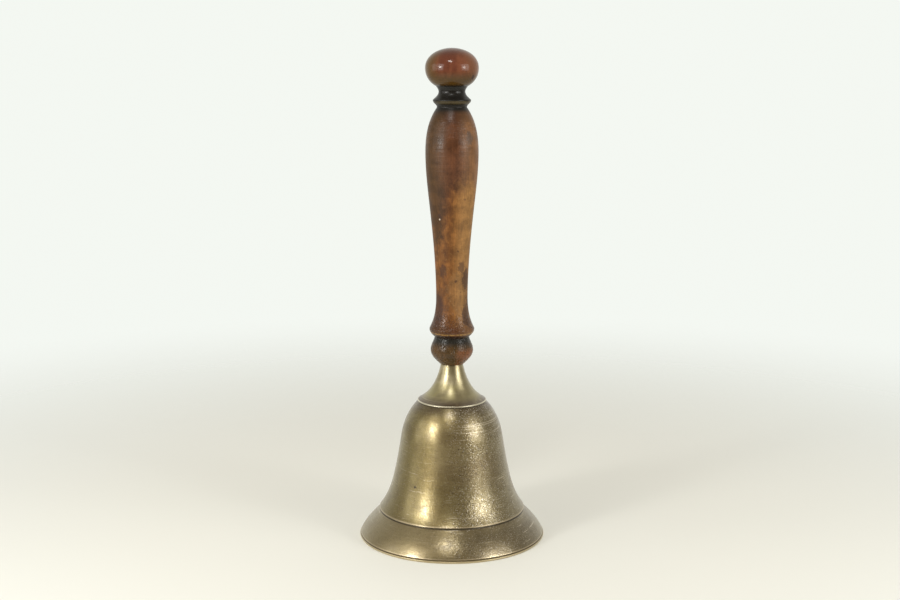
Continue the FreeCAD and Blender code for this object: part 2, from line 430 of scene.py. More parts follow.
OLD_FINISH = (
    (7.2, -4.3, 126.5, 3.6, 1.9, 1.0),
    (4.7, -6.7, 132.5, 2.5, 1.5, 0.75),
    (-4.3, -6.6, 131.0, 2.0, 1.8, 0.7),
    (-6.8, -4.7, 112.0, 4.2, 2.6, 1.0),
    (6.8, -5.4, 109.0, 3.0, 2.4, 1.0),
    (2.0, -8.0, 126.0, 0.9, 1.0, 0.9),
    (-5.8, -8.4, 157.0, 1.1, 1.4, 0.8),
    (5.6, -8.8, 165.0, 1.0, 1.0, 0.9),
    (3.0, -8.3, 140.5, 0.8, 0.8, 0.9),
)


def add_wood_noises(wood):
    """The noises that the handle's colour, gloss and relief share."""
    wood.grain = wood.noise(1500, 1500, 48, 5, 0.6, 0.15)
    wood.fleck = wood.noise(2600, 2600, 500, 3, 0.6)
    wood.cloud = wood.noise(100, 100, 50, 5, 0.6, 0.6)
    wood.patch = wood.noise(330, 330, 210, 5, 0.68, 0.4)
    wood.mottle = wood.noise(700, 700, 430, 5, 0.7, 0.5)
    wood.chip = wood.noise(1300, 1300, 1000, 4, 0.75)
    wood.ragged = wood.blend(0.5, wood.patch, wood.blend(0.5, wood.mottle, wood.chip))


def add_wood_areas(wood):
    """The areas that they share: knob, sides, worn wood, smoked collar, dent, and tool ridges."""
    wood.knob = wood.fade(wood.z, 213.0, 217.0)
    wood.sides = wood.fade(wood.facing(8), 0.86, 0.60)
    wood.worn = wear(wood)
    smoke = wood.plus(wood.band(206.3, 219.0, 2.6), wood.fade(wood.z, 199.0, 206.5, 0.0, 0.45))
    wood.smoke = wood.math("MINIMUM", wood.times(smoke, wood.fade(wood.z, 218.6, 216.2)), 1.0)
    wood.dent = wood.times(wood.spot(9.6, -6.4, 221.3, 1.2, 1.3), wood.fade(wood.chip, 0.40, 0.50, 0.6, 1.0))
    lines = wood.fade(wood.noise(60, 60, 2400, 2, 0.5), 0.44, 0.56)
    wood.ridges = wood.times(lines, wood.band(192.5, 201.5, 2.5))


def wear(wood):
    """1 where the finish is worn off: low on the grip, and higher up on its right."""
    lower = wood.fade(wood.z, 186.0, 145.0, 0.0, 0.58)
    left = wood.times(wood.fade(wood.facing(-75), 0.40, 0.90, 0.0, 0.40), wood.fade(wood.z, 150.0, 128.0))
    right = wood.fade(wood.facing(60), -0.3, 1.0, 0.0, 0.6)
    right = wood.times(right, wood.fade(wood.z, 194.0, 160.0, 0.4, 1.0))
    clouds = wood.plus(wood.times(wood.cloud, 0.6), wood.times(wood.patch, 0.4))
    amount = wood.plus(lower, left, right, clouds, wood.swing(wood.ragged, 0.26))
    return wood.times(wood.fade(amount, 0.93, 1.39), wood.band(106.0, 202.0, 6.0))


def grip_finish(wood):
    """Red-brown finish, olive towards the left and thin on the right."""
    color = wood.mix(wood.fade(wood.cloud, 0.36, 0.62), WOOD["stain"], WOOD["stain_thin"])
    color = wood.mix(wood.fade(wood.facing(-75), 0.25, 0.95, 0.0, 0.8), color, WOOD["stain_left"])
    return wood.mix(wood.fade(wood.facing(78), 0.35, 0.95, 0.0, 0.85), color, WOOD["stain_right"])


def knob_finish(wood):
    """Redder finish on the knob, golden at its foot, and darker on top as a painted dark reflection."""
    color = wood.mix(wood.fade(wood.cloud, 0.40, 0.60), WOOD["knob"], WOOD["knob_thin"])
    color = wood.mix(wood.fade(wood.facing(-80), 0.55, 1.0), color, WOOD["knob_left"])
    color = wood.mix(wood.fade(wood.facing(80), 0.50, 0.98, 0.0, 0.6), color, WOOD["knob_right"])
    color = wood.mix(wood.fade(wood.z, 219.5, 225.0, 0.95, 0.0), color, WOOD["knob_foot"])
    # Painted dark reflection on top of the knob.
    return wood.mix(wood.fade(wood.z, 230.0, 234.0, 0.0, 0.5), color, WOOD["knob_top"])


def bare_wood(wood):
    """Honey-coloured bare wood, palest on the right and where a thumb rubs it above the flare."""
    color = wood.mix(wood.fade(wood.patch, 0.35, 0.65), WOOD["bare"], WOOD["bare_pale"])
    color = wood.mix(wood.fade(wood.facing(70), 0.25, 0.95), color, WOOD["bare_right"])
    thumb = wood.times(wood.spot(1.8, -7.4, 121.0, 4.6, 2.2, wood.ragged), 0.35)
    return wood.mix(thumb, color, WOOD["thumb"])


def streaked(wood, color):
    """The colour with the grain's streaks, calm on the knob and coarse low on the grip."""
    lively = wood.fade(wood.grain, 0.30, 0.70, 0.84, 1.08)
    calm = wood.fade(wood.grain, 0.30, 0.70, 0.94, 1.04)
    streak = wood.blend(wood.knob, lively, calm)
    smooth = wood.fade(wood.z, 185.0, 150.0, 0.5, 0.0)
    coarse = wood.blend(smooth, wood.fade(wood.ragged, 0.34, 0.66, 0.78, 1.20), 1.0)
    blotch = wood.fade(wood.noise(110, 110, 190, 3, 0.6), 0.38, 0.62, 0.82, 1.12)
    streak = wood.times(streak, coarse, wood.blend(wood.knob, blotch, 1.0))
    tint = wood.node("ShaderNodeCombineColor", inputs={0: streak, 1: streak, 2: streak})
    return wood.mix(1.0, color, tint, "MULTIPLY")


def flecked(wood, color):
    """The colour with dark pores, dark nicks and pale flecks, most of them low on the grip."""
    pores = wood.times(wood.fade(wood.fleck, 0.66, 0.74), wood.fade(wood.patch, 0.40, 0.60, 0.1, 0.75))
    pores = wood.times(pores, wood.fade(wood.z, 190.0, 150.0, 0.45, 1.0))
    color = wood.mix(pores, color, WOOD["pore"])
    nicks = wood.times(wood.fade(wood.chip, 0.61, 0.66), wood.fade(wood.z, 175.0, 135.0, 0.15, 0.85))
    color = wood.mix(wood.times(nicks, wood.band(88.0, 204.0, 4.0)), color, WOOD["nick"])
    pale = wood.times(wood.fade(wood.chip, 0.38, 0.33), wood.fade(wood.z, 168.0, 128.0, 0.0, 0.75))
    return wood.mix(wood.times(pale, wood.band(100.0, 204.0, 4.0)), color, WOOD["fleck"])


def patched(wood, color):
    """The colour with the dark old finish that is left, and a grey smudge high on the right."""
    left_over = wood.times(wood.band(103.0, 120.0, 5.0), wood.fade(wood.ragged, 0.45, 0.51), wood.sides)
    crumbled = wood.blend(0.5, wood.ragged, wood.chip)
    for *place, strength in OLD_FINISH:
        spot = wood.times(wood.spot(*place, crumbled), strength)
        left_over = wood.math("MAXIMUM", left_over, spot)
    color = wood.mix(wood.times(left_over, 0.80), color, WOOD["old_finish"])
    smudge = wood.times(wood.spot(8.2, -9.0, 193.5, 2.6, 1.6, wood.ragged), 0.5)
    return wood.mix(smudge, color, WOOD["smudge"])


def flared(wood, color):
    """The colour with the darker flare, its rubbed rim and the shadowed cut under it."""
    flare = wood.times(wood.band(100.5, 109.0, 2.0), wood.fade(wood.ragged, 0.40, 0.56, 0.05, 0.52))
    color = wood.mix(wood.times(flare, wood.blend(wood.sides, 0.3, 1.0)), color, WOOD["flare"])
    rim = wood.times(wood.band(100.3, 101.0, 0.2), wood.fade(wood.ragged, 0.40, 0.52, 0.35, 0.95))
    color = wood.mix(rim, color, WOOD["rim"])
    return wood.mix(wood.fade(wood.z, 100.2, 99.6, 0.0, 0.8), color, WOOD["under_rim"])


def bead_finish(wood):
    """Olive brown, warm low on the right, under a ragged dark top."""
    color = wood.mix(wood.fade(wood.patch, 0.38, 0.62), WOOD["bead"], WOOD["bead_pale"])
    warm = wood.times(wood.fade(wood.facing(52), 0.66, 0.97), wood.fade(wood.z, 94.5, 91.5))
    warm = wood.times(warm, wood.fade(wood.ragged, 0.40, 0.56, 0.3, 0.9))
    color = wood.mix(warm, color, WOOD["bead_warm"])
    top = wood.fade(wood.plus(wood.z, wood.times(wood.ragged, 2.0)), 94.4, 98.0)
    return wood.mix(top, color, WOOD["bead_top"])


def collared(wood, color):
    """The colour with the smoked collar, rubbed along its sharp bead, where a painted highlight also lightens
    it towards the right front.
    """
    color = wood.mix(wood.smoke, color, WOOD["smoke"])
    # The collar's bead: rubbed, and also a painted highlight that is strongest towards the right front.
    rubbed = wood.times(wood.band(208.9, 210.3, 0.25), wood.fade(wood.facing(30), -0.4, 0.9, 0.2, 0.8))
    rubbed = wood.times(rubbed, wood.fade(wood.ragged, 0.40, 0.52, 0.5, 1.0))
    return wood.mix(rubbed, color, WOOD["rubbed"])


def marked(wood, color):
    """The colour with dirt and painted shade in the cuts, a chip of pale paint, and the dent in the knob."""
    # Cuts: dirt, and painted shade where the surface lies back.
    color = wood.mix(wood.fade(wood.relief(), -0.03, -0.11, 0.0, 0.9), color, WOOD["grime_and_shade"])
    color = wood.mix(wood.spot(-5.75, -8.15, 155.5, 0.5), color, WOOD["paint"])
    return wood.mix(wood.dent, color, WOOD["dent"])


def wood_roughness(wood):
    """Glossy on the knob and from the flare down, satin above, and dull where the wood is bare."""
    gloss = wood.fade(wood.z, 205.0, 219.0, 0.30, 0.135)
    rough = wood.plus(gloss, wood.fade(wood.z, 192.5, 182.0, 0.0, 0.18))
    rough = wood.blend(wood.worn, rough, 0.56)
    varnish = wood.times(wood.band(86.0, 110.0, 2.5), -0.24)
    matt = wood.plus(wood.times(wood.smoke, 0.10), wood.times(wood.dent, 0.45), wood.times(wood.ridges, 0.14))
    return wood.plus(rough, varnish, wood.swing(wood.patch, 0.25), matt)


def wood_normal(wood):
    """Shallow dents, turning rings, the grain, crazed varnish low down and ridges high up."""
    rings = wood.noise(18, 18, 950, 4, 0.6)
    cells = {"Vector": wood.scaled(1, 1, 0.8), "Scale": 800.0}
    cracks = wood.node("ShaderNodeTexVoronoi", "Distance", cells, feature="DISTANCE_TO_EDGE")
    crazed = wood.times(wood.fade(cracks, 0.0, 0.08), wood.band(86.0, 110.0, 3.0))
    normal = wood.bump(wood.cloud, 0.25, 0.35)
    normal = wood.bump(rings, wood.blend(wood.knob, 0.55, 0.08), 0.25, normal)
    normal = wood.bump(wood.plus(wood.grain, wood.mottle), wood.blend(wood.knob, 0.38, 0.10), 0.12, normal)
    normal = wood.bump(crazed, 1.0, 0.18, normal)
    return wood.bump(wood.ridges, 0.5, 0.08, normal)


def make_wood():
    """Turned maple under old red-brown finish, worn to bare honey wood low and right on the grip."""
    wood = Shader("worn_varnished_wood", Specular_IOR_Level=0.34)
    add_wood_noises(wood)
    add_wood_areas(wood)
    finish = wood.mix(wood.knob, grip_finish(wood), knob_finish(wood))
    color = wood.mix(wood.worn, finish, bare_wood(wood))
    color = flared(wood, patched(wood, flecked(wood, streaked(wood, color))))
    color = wood.mix(wood.fade(wood.z, 98.6, 98.0), color, bead_finish(wood))
    color = marked(wood, collared(wood, color))
    return wood.finish(color, wood_roughness(wood), wood_normal(wood))


# The bell's colours.
BELL = {
    "brass": rgb(0.258, 0.198, 0.080),
    "brass_pale": rgb(0.340, 0.278, 0.128),
    "left": rgb(0.235, 0.192, 0.070),
    "right": rgb(0.262, 0.220, 0.126),
    "stain": rgb(0.190, 0.145, 0.060),
    # painted light: a paler front middle, lifting the dim reflection there
    "middle": rgb(0.400, 0.320, 0.170),
    # painted shade: dims the right-hand highlight across the waist
    "waist": rgb(0.165, 0.115, 0.058),
    "crown": rgb(0.120, 0.090, 0.056),
    "skirt": rgb(0.205, 0.162, 0.086),
    "skirt_pale": rgb(0.272, 0.220, 0.122),
    # painted reflection: the skirt's left made paler, as it would mirror the bright side of the room
    "skirt_left": rgb(0.370, 0.306, 0.180),
    # painted shade: dims the highlight on the skirt's right
    "skirt_painted_shade": rgb(0.110, 0.085, 0.050),
    "line_pale": rgb(0.520, 0.450, 0.300),
    "line_dark": rgb(0.140, 0.100, 0.050),
    "grit": rgb(0.085, 0.060, 0.035),
    # painted glints: pale specks where the right-hand highlight falls
    "spark": rgb(0.840, 0.790, 0.680),
    "scratch": rgb(0.700, 0.620, 0.460),
    # painted reflection: a yellow band along the lip
    "lip": rgb(0.520, 0.430, 0.210),
    # rubbed brass on proud edges, also a painted highlight
    "edge": rgb(0.600, 0.500, 0.330),
    # dirt, and painted shade, in the cuts and under the ring's step
    "grime_and_shade": rgb(0.060, 0.045, 0.026),
    # dirt, and painted shade, in the groove above the lip
    "lip_grime_and_shade": rgb(0.130, 0.100, 0.055),
    "spot": rgb(0.060, 0.045, 0.025),
    "tarnish": rgb(0.150, 0.108, 0.055),
    "tarnish_thin": rgb(0.250, 0.195, 0.105),
    "inner_line": rgb(0.360, 0.290, 0.160),
    "struck": rgb(0.550, 0.460, 0.260),
}


def add_bell_noises(bell):
    """The noises that the bell's colour, gloss and relief share."""
    bell.around = bell.noise(70, 70, 1500, 4, 0.7)
    bell.cloud = bell.noise(34, 34, 30, 5, 0.6, 0.8)
    bell.stain = bell.noise(170, 170, 200, 6, 0.7, 0.5)
    bell.patch = bell.noise(75, 75, 115, 6, 0.72, 0.4)
    bell.grit = bell.noise(1250, 1250, 1400, 2, 0.6)


def add_bell_areas(bell):
    """The areas that they share: worn to a grain, the waist's painted shade, scratches, proud and sunk edges
    that also carry painted highlight and shade, inside.
    """
    worn = bell.times(bell.fade(bell.facing(36), 0.66, 0.93), bell.fade(bell.z, 12.0, 15.0, 0.45, 1.0))
    worn = bell.times(worn, bell.fade(bell.patch, 0.38, 0.56, 0.45, 1.0))
    bell.worn = bell.times(worn, bell.fade(bell.z, 44.0, 54.0, 1.0, 0.85))
    # Painted shade: a band across the waist on the right, dimming the highlight between its shoulder and
    # flare hot spots.
    waist = bell.times(bell.band(29.0, 44.0, 4.0), bell.fade(bell.facing(28), 0.60, 0.95))
    bell.waist = bell.times(waist, bell.fade(bell.patch, 0.40, 0.55, 0.35, 1.0))
    bell.scratch = scratches(bell)
    relief = bell.relief()
    bell.proud = bell.fade(relief, 0.03, 0.09, 0.0, 0.6)
    bell.sunk = bell.fade(relief, -0.02, -0.06, 0.0, 0.85)
    bell.inner = bell.inward()


def scratches(bell):
    """Slanting scratches here and there, and finer level ones on the right shoulder."""
    slant = bell.noise(45, 45, 1300, 3, 0.6, 0.0, (0.32, 0.16, 0.0))
    sparse = bell.fade(bell.noise(70, 70, 45, 3, 0.5), 0.50, 0.62)
    slanting = bell.times(bell.fade(slant, 0.63, 0.67), sparse)
    shoulder = bell.times(bell.band(48.0, 64.0, 3.0), bell.fade(bell.facing(45), 0.55, 0.95))
    level = bell.times(bell.fade(bell.noise(22, 22, 2600, 2, 0.5), 0.60, 0.68), shoulder)
    return bell.math("MAXIMUM", slanting, level)


def bell_tones(bell):
    """The broad tones of the aged brass, from side to side and from waist to crown, with painted light on the
    front middle and painted shade across the waist on the right.
    """
    color = bell.mix(bell.fade(bell.cloud, 0.38, 0.62), BELL["brass"], BELL["brass_pale"])
    color = bell.mix(bell.fade(bell.facing(-76), 0.55, 0.95, 0.0, 0.65), color, BELL["left"])
    color = bell.mix(bell.fade(bell.facing(62), 0.30, 0.90, 0.0, 0.75), color, BELL["right"])
    color = bell.mix(bell.fade(bell.stain, 0.44, 0.64, 0.0, 0.65), color, BELL["stain"])
    # Painted light: the front middle of the upper body is made paler, lifting the dim reflection that it
    # shows.
    middle = bell.times(bell.band(36.0, 56.0, 6.0), bell.fade(bell.facing(-4), 0.94, 1.0, 0.0, 0.6))
    color = bell.mix(middle, color, BELL["middle"])
    color = bell.mix(bell.times(bell.waist, 0.42), color, BELL["waist"])
    crown = bell.times(bell.fade(bell.z, 61.5, 66.0), bell.fade(bell.stain, 0.36, 0.60, 0.45, 0.75))
    return bell.mix(crown, color, BELL["crown"])


def skirted(bell, color):
    """The colour with the greyer skirt, paler on its left as a painted reflection, and with painted shade on
    its right.
    """
    skirt = bell.mix(bell.fade(bell.patch, 0.42, 0.58), BELL["skirt"], BELL["skirt_pale"])
    # Painted reflection: the skirt is paler on its left.
    skirt = bell.mix(bell.fade(bell.facing(-75), 0.35, 0.90, 0.0, 0.8), skirt, BELL["skirt_left"])
    color = bell.mix(bell.fade(bell.z, 15.5, 12.5, 0.0, 0.6), color, skirt)
    # Painted shade: the skirt's right is darkened to dim its highlight.
    dull = bell.times(bell.fade(bell.z, 12.5, 9.5), bell.fade(bell.facing(44), 0.78, 0.96))
    return bell.mix(bell.times(dull, 0.35), color, BELL["skirt_painted_shade"])


def grained(bell, color):
    """The colour with the lines of turning, the dark grit of worn lacquer, and pale sparks that are painted
    glints, thickest where the right-hand highlight falls.
    """
    color = bell.mix(bell.fade(bell.around, 0.58, 0.72, 0.0, 0.35), color, BELL["line_pale"])
    color = bell.mix(bell.fade(bell.around, 0.40, 0.30, 0.0, 0.40), color, BELL["line_dark"])
    grit = bell.times(bell.fade(bell.grit, 0.58, 0.66), bell.blend(bell.worn, 0.25, 0.8))
    color = bell.mix(grit, color, BELL["grit"])
    speck = bell.noise(1700, 1700, 2500, 2, 0.6)
    # Painted glints: pale specks, thickest on the worn right-hand grain and fewer across the waist.
    spark = bell.times(bell.fade(speck, 0.42, 0.34), bell.blend(bell.worn, 0.10, 0.9))
    spark = bell.times(spark, bell.fade(bell.waist, 0.0, 1.0, 1.0, 0.45))
    return bell.mix(spark, color, BELL["spark"])


def edged(bell, color):
    """The colour with scratches, a yellow lip that is a painted reflection, edges that are rubbed and carry a
    painted highlight, dirt and painted shade in the cuts, and one dark spot.
    """
    color = bell.mix(bell.times(bell.scratch, 0.7), color, BELL["scratch"])
    # Painted reflection: a yellow band along the lip.
    color = bell.mix(bell.fade(bell.z, 1.7, 1.3, 0.0, 0.75), color, BELL["lip"])
    # Proud edges: rubbed brass, and also a painted highlight.
    color = bell.mix(bell.proud, color, BELL["edge"])
    # Cuts and grooves: dirt, and painted shade where the surface lies back.
    grime_and_shade = bell.mix(bell.fade(bell.z, 3.0, 2.0), BELL["grime_and_shade"], BELL["lip_grime_and_shade"])
    color = bell.mix(bell.sunk, color, grime_and_shade)
    return bell.mix(bell.spot(-17.4, -22.3, 29.9, 0.7, 1.0, bell.grit), color, BELL["spot"])


def inner_tarnish(bell):
    """The tarnish inside the bell, rubbed through where the clapper strikes."""
    color = bell.mix(bell.fade(bell.stain, 0.38, 0.62), BELL["tarnish"], BELL["tarnish_thin"])
    lines = bell.fade(bell.noise(12, 12, 900, 3, 0.6), 0.52, 0.64, 0.0, 0.4)
    color = bell.mix(lines, color, BELL["inner_line"])
    for y in (-STRIKE_RADIUS, STRIKE_RADIUS):
        struck = bell.times(bell.spot(0, y, STRIKE_HEIGHT, 4.2, 1.5, bell.grit), 0.7)
        color = bell.mix(struck, color, BELL["struck"])
    return color


def bell_roughness(bell):
    """Satin, dull in the cuts and inside."""
    sweep = bell.swing(bell.noise(60, 60, 3800, 3, 0.6), 0.25)
    dull = bell.plus(bell.times(bell.sunk, 0.3), bell.times(bell.inner, 0.10))
    return bell.plus(bell.fade(bell.stain, 0.3, 0.7, 0.32, 0.42), sweep, dull)


def bell_normal(bell):
    """Shallow waves, the lines of turning and scratching, and grit that is strongest where worn."""
    normal = bell.bump(bell.cloud, 0.4, 0.8)
    lines = bell.plus(bell.around, bell.times(bell.scratch, 0.6))
    normal = bell.bump(lines, 0.22, 0.10, normal)
    return bell.bump(bell.grit, bell.blend(bell.worn, 0.22, 0.9), 0.14, normal)


def brush_around(brass):
    """Runs the brass's stretched reflections round the axis, as turning leaves them."""
    tangent = brass.node("ShaderNodeTangent", direction_type="RADIAL", axis="Z")
    brass.put(brass.surface.inputs["Tangent"], tangent)


def make_bell_brass():
    """Aged satin brass under old lacquer: olive on the left, greyer and worn to a grain on the right."""
    bell = Shader("aged_bell_brass", Metallic=0.9, Anisotropic=0.35, Anisotropic_Rotation=0.25,
                  Coat_Weight=0.65, Coat_Roughness=0.23)
    brush_around(bell)
    add_bell_noises(bell)
    add_bell_areas(bell)
    color = edged(bell, grained(bell, skirted(bell, bell_tones(bell))))
    color = bell.mix(bell.inner, color, inner_tarnish(bell))
    normal = bell_normal(bell)
    bell.put(bell.surface.inputs["Coat Normal"], normal)
    return bell.finish(color, bell_roughness(bell), normal)


# The neck's colours.
NECK = {
    "brass": rgb(0.380, 0.330, 0.185),
    "brass_pale": rgb(0.510, 0.450, 0.280),
    "olive": rgb(0.400, 0.355, 0.140),
    "foot": rgb(0.180, 0.142, 0.098),
    "line": rgb(0.660, 0.580, 0.400),
    "speck": rgb(0.120, 0.090, 0.050),
    # rubbed brass on the neck's bottom edge, also a painted highlight
    "edge": rgb(0.800, 0.750, 0.580),
    "top": rgb(0.100, 0.070, 0.040),
    "seam": rgb(0.040, 0.030, 0.018),
}


def neck_color(neck, cloud, around, speck):
    """Olive below the middle, dark at the foot, with a bright edge above a black seam; the bright edge is
    rubbed brass and a painted highlight.
    """
    color = neck.mix(neck.fade(cloud, 0.36, 0.64), NECK["brass"], NECK["brass_pale"])
    olive = neck.times(neck.band(69.5, 76.0, 1.5), neck.fade(cloud, 0.42, 0.58, 0.0, 0.55))
    color = neck.mix(olive, color, NECK["olive"])
    stain = neck.noise(380, 380, 420, 5, 0.7, 0.4)
    foot = neck.times(neck.fade(neck.z, 71.0, 67.6), neck.fade(stain, 0.32, 0.52, 0.55, 0.95))
    color = neck.mix(foot, color, NECK["foot"])
    color = neck.mix(neck.fade(around, 0.58, 0.75, 0.0, 0.35), color, NECK["line"])
    color = neck.mix(neck.fade(speck, 0.66, 0.76, 0.0, 0.45), color, NECK["speck"])
    # The bright bottom edge: rubbed brass, and also a painted highlight.
    color = neck.mix(neck.fade(neck.relief(), 0.045, 0.11, 0.0, 0.9), color, NECK["edge"])
    color = neck.mix(neck.fade(neck.z, 84.2, 85.1, 0.0, 0.6), color, NECK["top"])
    return neck.mix(neck.fade(neck.z, 67.1, 66.8), color, NECK["seam"])


def make_neck_brass():
    """Brighter brass, kept rubbed by the hand that holds the bell there."""
    neck = Shader("rubbed_neck_brass", Metallic=0.92, Anisotropic=0.3, Anisotropic_Rotation=0.25,
                  Coat_Weight=0.5, Coat_Roughness=0.26)
    brush_around(neck)
    around = neck.noise(40, 40, 1900, 4, 0.6)
    cloud = neck.noise(120, 120, 90, 5, 0.6, 0.5)
    speck = neck.noise(1900, 1900, 1900, 4, 0.7)
    rough = neck.plus(neck.fade(cloud, 0.3, 0.7, 0.34, 0.42), neck.swing(around, 0.12))
    normal = neck.bump(speck, 0.15, 0.05, neck.bump(around, 0.08, 0.06))
    return neck.finish(neck_color(neck, cloud, around, speck), rough, normal)


def make_iron():
    """Dark forged iron with a little brown rust."""
    iron = Shader("forged_iron", Metallic=0.75)
    scale = iron.noise(420, 420, 420, 6, 0.7, 0.5)
    rust = iron.noise(900, 900, 900, 6, 0.72)
    color = iron.mix(iron.fade(scale, 0.38, 0.62), rgb(0.035, 0.03, 0.028), rgb(0.10, 0.09, 0.083))
    color = iron.mix(iron.fade(rust, 0.52, 0.70, 0.0, 0.7), color, rgb(0.13, 0.055, 0.024))
    color = iron.mix(iron.fade(iron.relief(), 0.03, 0.12, 0.0, 0.6), color, rgb(0.30, 0.28, 0.26))
    rough = iron.fade(rust, 0.35, 0.65, 0.42, 0.72)
    normal = iron.bump(scale, 0.5, 0.25)
    normal = iron.bump(rust, 0.4, 0.12, normal)
    return iron.finish(color, rough, normal)


def make_steel():
    """Dull zinc-grey steel with fine scratches and rust freckles."""
    steel = Shader("dull_steel", Metallic=0.9)
    brush = steel.noise(300, 300, 4200, 4, 0.6)
    rust = steel.noise(1100, 1100, 1100, 6, 0.7)
    color = steel.mix(steel.fade(brush, 0.35, 0.65), rgb(0.27, 0.26, 0.25), rgb(0.40, 0.39, 0.37))
    color = steel.mix(steel.fade(rust, 0.54, 0.68, 0.0, 0.8), color, rgb(0.16, 0.075, 0.035))
    rough = steel.fade(rust, 0.35, 0.65, 0.34, 0.62)
    normal = steel.bump(rust, 0.35, 0.10, steel.bump(brush, 0.1, 0.05))
    return steel.finish(color, rough, normal)


# Pieces


def inside(radius, height, surface_heading):
    """Point on the bell's inner surface, one wall behind a point of its outer surface."""
    angle = math.radians(surface_heading)
    return radius - WALL * math.cos(angle), height - WALL * math.sin(angle)


def bell_outline():
    """Down the outside of the bell and up the inside, closed on itself at the crown's hole."""
    outer = [
        (BORE, CROWN),
        (16.4, CROWN),
        (*SHOULDER, 46, 9),
        (*WAIST, 9, 13),
        (RING_RADIUS, RING_HEIGHT, 13, 38),
        (SKIRT_TOP_RADIUS, RING_HEIGHT - GROOVE),
        (SKIRT_TOP_RADIUS, SKIRT_TOP),
        (LIP_TOP_RADIUS, LIP_HEIGHT, 46, 26),
        (LIP_TOP_RADIUS - GROOVE, LIP_HEIGHT - GROOVE),
        (MOUTH_RADIUS, LIP_HEIGHT / 2, 60, 0),
        (LIP_TOP_RADIUS, 0, 0, -50),
    ]
    mouth = inside(LIP_TOP_RADIUS, LIP_HEIGHT, 26)
    inner = [
        (mouth[0], 0),
        mouth,
        (*inside(SKIRT_TOP_RADIUS, SKIRT_TOP, 46), 26 - 180, 46 - 180),
        (*inside(*WAIST, 13), 46 - 180, 13 - 180),
        (*inside(*SHOULDER, 9), 13 - 180, 9 - 180),
        (12.0, CROWN_UNDER, 9 - 180, 90 - 180),
        (BORE, CROWN_UNDER),
        (BORE, CROWN),
    ]
    return outline(outer + inner)


def uneven(depth, scale):
    """A shape function that presses a turned surface in, by up to depth in millimetres."""
    def press(place):
        amount = 0.5 + 0.5 * noise.noise(place * scale)
        outward = Vector((place.x, place.y, 0)).normalized()
        return place - outward * depth * amount
    return press


def ball_outline():
    """The clapper's ball, bored for its shank and flat underneath."""
    top = BALL_MIDDLE + math.sqrt(BALL_RADIUS ** 2 - SHANK ** 2)
    lean = math.degrees(math.asin(SHANK / BALL_RADIUS))
    low = math.sqrt(BALL_RADIUS ** 2 - (BALL_MIDDLE - BALL_FLAT) ** 2)
    end = math.degrees(math.asin(low / BALL_RADIUS))
    steps = [
        (SHANK, top),
        (BALL_RADIUS, BALL_MIDDLE, 90 - lean, 0),
        (low, BALL_FLAT, 0, end - 90),
        (SHANK, BALL_FLAT),
        (SHANK, top),
    ]
    return outline(steps, 0.12, 0.5)


def cast(place):
    """Presses the ball in a little all over, but for the seam that its mould left."""
    seam = max(0.0, 1.0 - abs(place.x) / 0.45)
    rough = 0.10 + 0.06 * noise.noise(place * 0.9) + 0.04 * noise.noise(place * 2.3)
    away = place - Vector((0, 0, BALL_MIDDLE))
    return place - away.normalized() * rough * (1 - seam)


def hammered(place):
    """Presses facets into the clapper's shank, as a smith's hammer leaves them."""
    depth = 0.09 + 0.09 * noise.noise(place * 0.55)
    outward = Vector((place.x, place.y, 0)).normalized()
    return place - outward * depth


def shank_outline():
    """The clapper's shank, from inside its eye down to the end peened over under the ball."""
    steps = [
        (0, PIVOT - 2.4),
        (1.9, PIVOT - 2.4),
        (1.9, PIVOT - 3.3),
        (SHANK, BALL_MIDDLE + BALL_RADIUS),
        (SHANK, BALL_FLAT),
        (SHANK + 0.4, BALL_FLAT),
        (0, BALL_FLAT - 0.8, 0, -90),
    ]
    return outline(steps, 0.1, 0.6)


def eye_outline():
    """The clapper's eye, as a ring about the height of its own axis."""
    hole, rim, half = 1.55, 3.3, 3.0
    return outline([(hole, half), (rim, half), (rim, -half), (hole, -half), (hole, half)], 0.35, 0.4)


def make_clapper_rod():
    """Shank and eye in one object, the eye laid over onto the pin's axis."""
    rod = lathe("clapper_forging", shank_outline(), 40, hammered)
    eye = lathe("clapper_eye", eye_outline(), 56)
    lay = Matrix.Translation((0, 0, PIVOT * MM)) @ Matrix.Rotation(math.radians(90), 4, "Y")
    form = bmesh.new()
    form.from_mesh(eye.data)
    form.transform(lay)
    form.from_mesh(rod.data)
    form.to_mesh(rod.data)
    form.free()
    bpy.data.objects.remove(eye)
    return rod


def make_handle(wood):
    """The turned handle, a little uneven from hands and years."""
    handle = lathe("handle_turning", outline(WOOD_OUTLINE, 0.25, 0.6), TURNED, uneven(0.12, 0.05))
    settle(handle, "wood_handle", "bell", wood)


def make_neck(brass):
    """The trumpet-shaped neck that stands on the crown."""
    neck = lathe("neck_casting", outline(NECK_OUTLINE, 0.18, 0.5), TURNED)
    settle(neck, "brass_neck", "bell", brass)


def make_shell(brass):
    """The bell itself, inside and outside in one skin."""
    shell = lathe("bell_casting", bell_outline(), AROUND, uneven(0.08, 0.06))
    settle(shell, "bell_shell", "bell", brass)


def make_clapper(iron):
    """The cast ball and its forged shank, which swing together."""
    ball = lathe("ball_casting", ball_outline(), 96, cast)
    settle(ball, "clapper_ball", "clapper", iron)
    settle(make_clapper_rod(), "clapper_rod", "clapper", iron)


def finish_node(node, material):
    """Gives a kept CAD node its material."""
    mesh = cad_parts[node].data
    mesh.materials.clear()
    mesh.materials.append(material)


def make_pieces():
    """All pieces of the bell, on the CAD nodes that they replace or finish."""
    wood = make_wood()
    bell_brass = make_bell_brass()
    neck_brass = make_neck_brass()
    iron = make_iron()
    steel = make_steel()
    make_handle(wood)
    make_neck(neck_brass)
    make_shell(bell_brass)
    make_clapper(iron)
    for node in ("handle_stud", "crown_washer", "crown_nut", "keeper_washer", "clapper_pin"):
        finish_node(node, steel)
    finish_node("swivel_yoke", iron)


# Studio


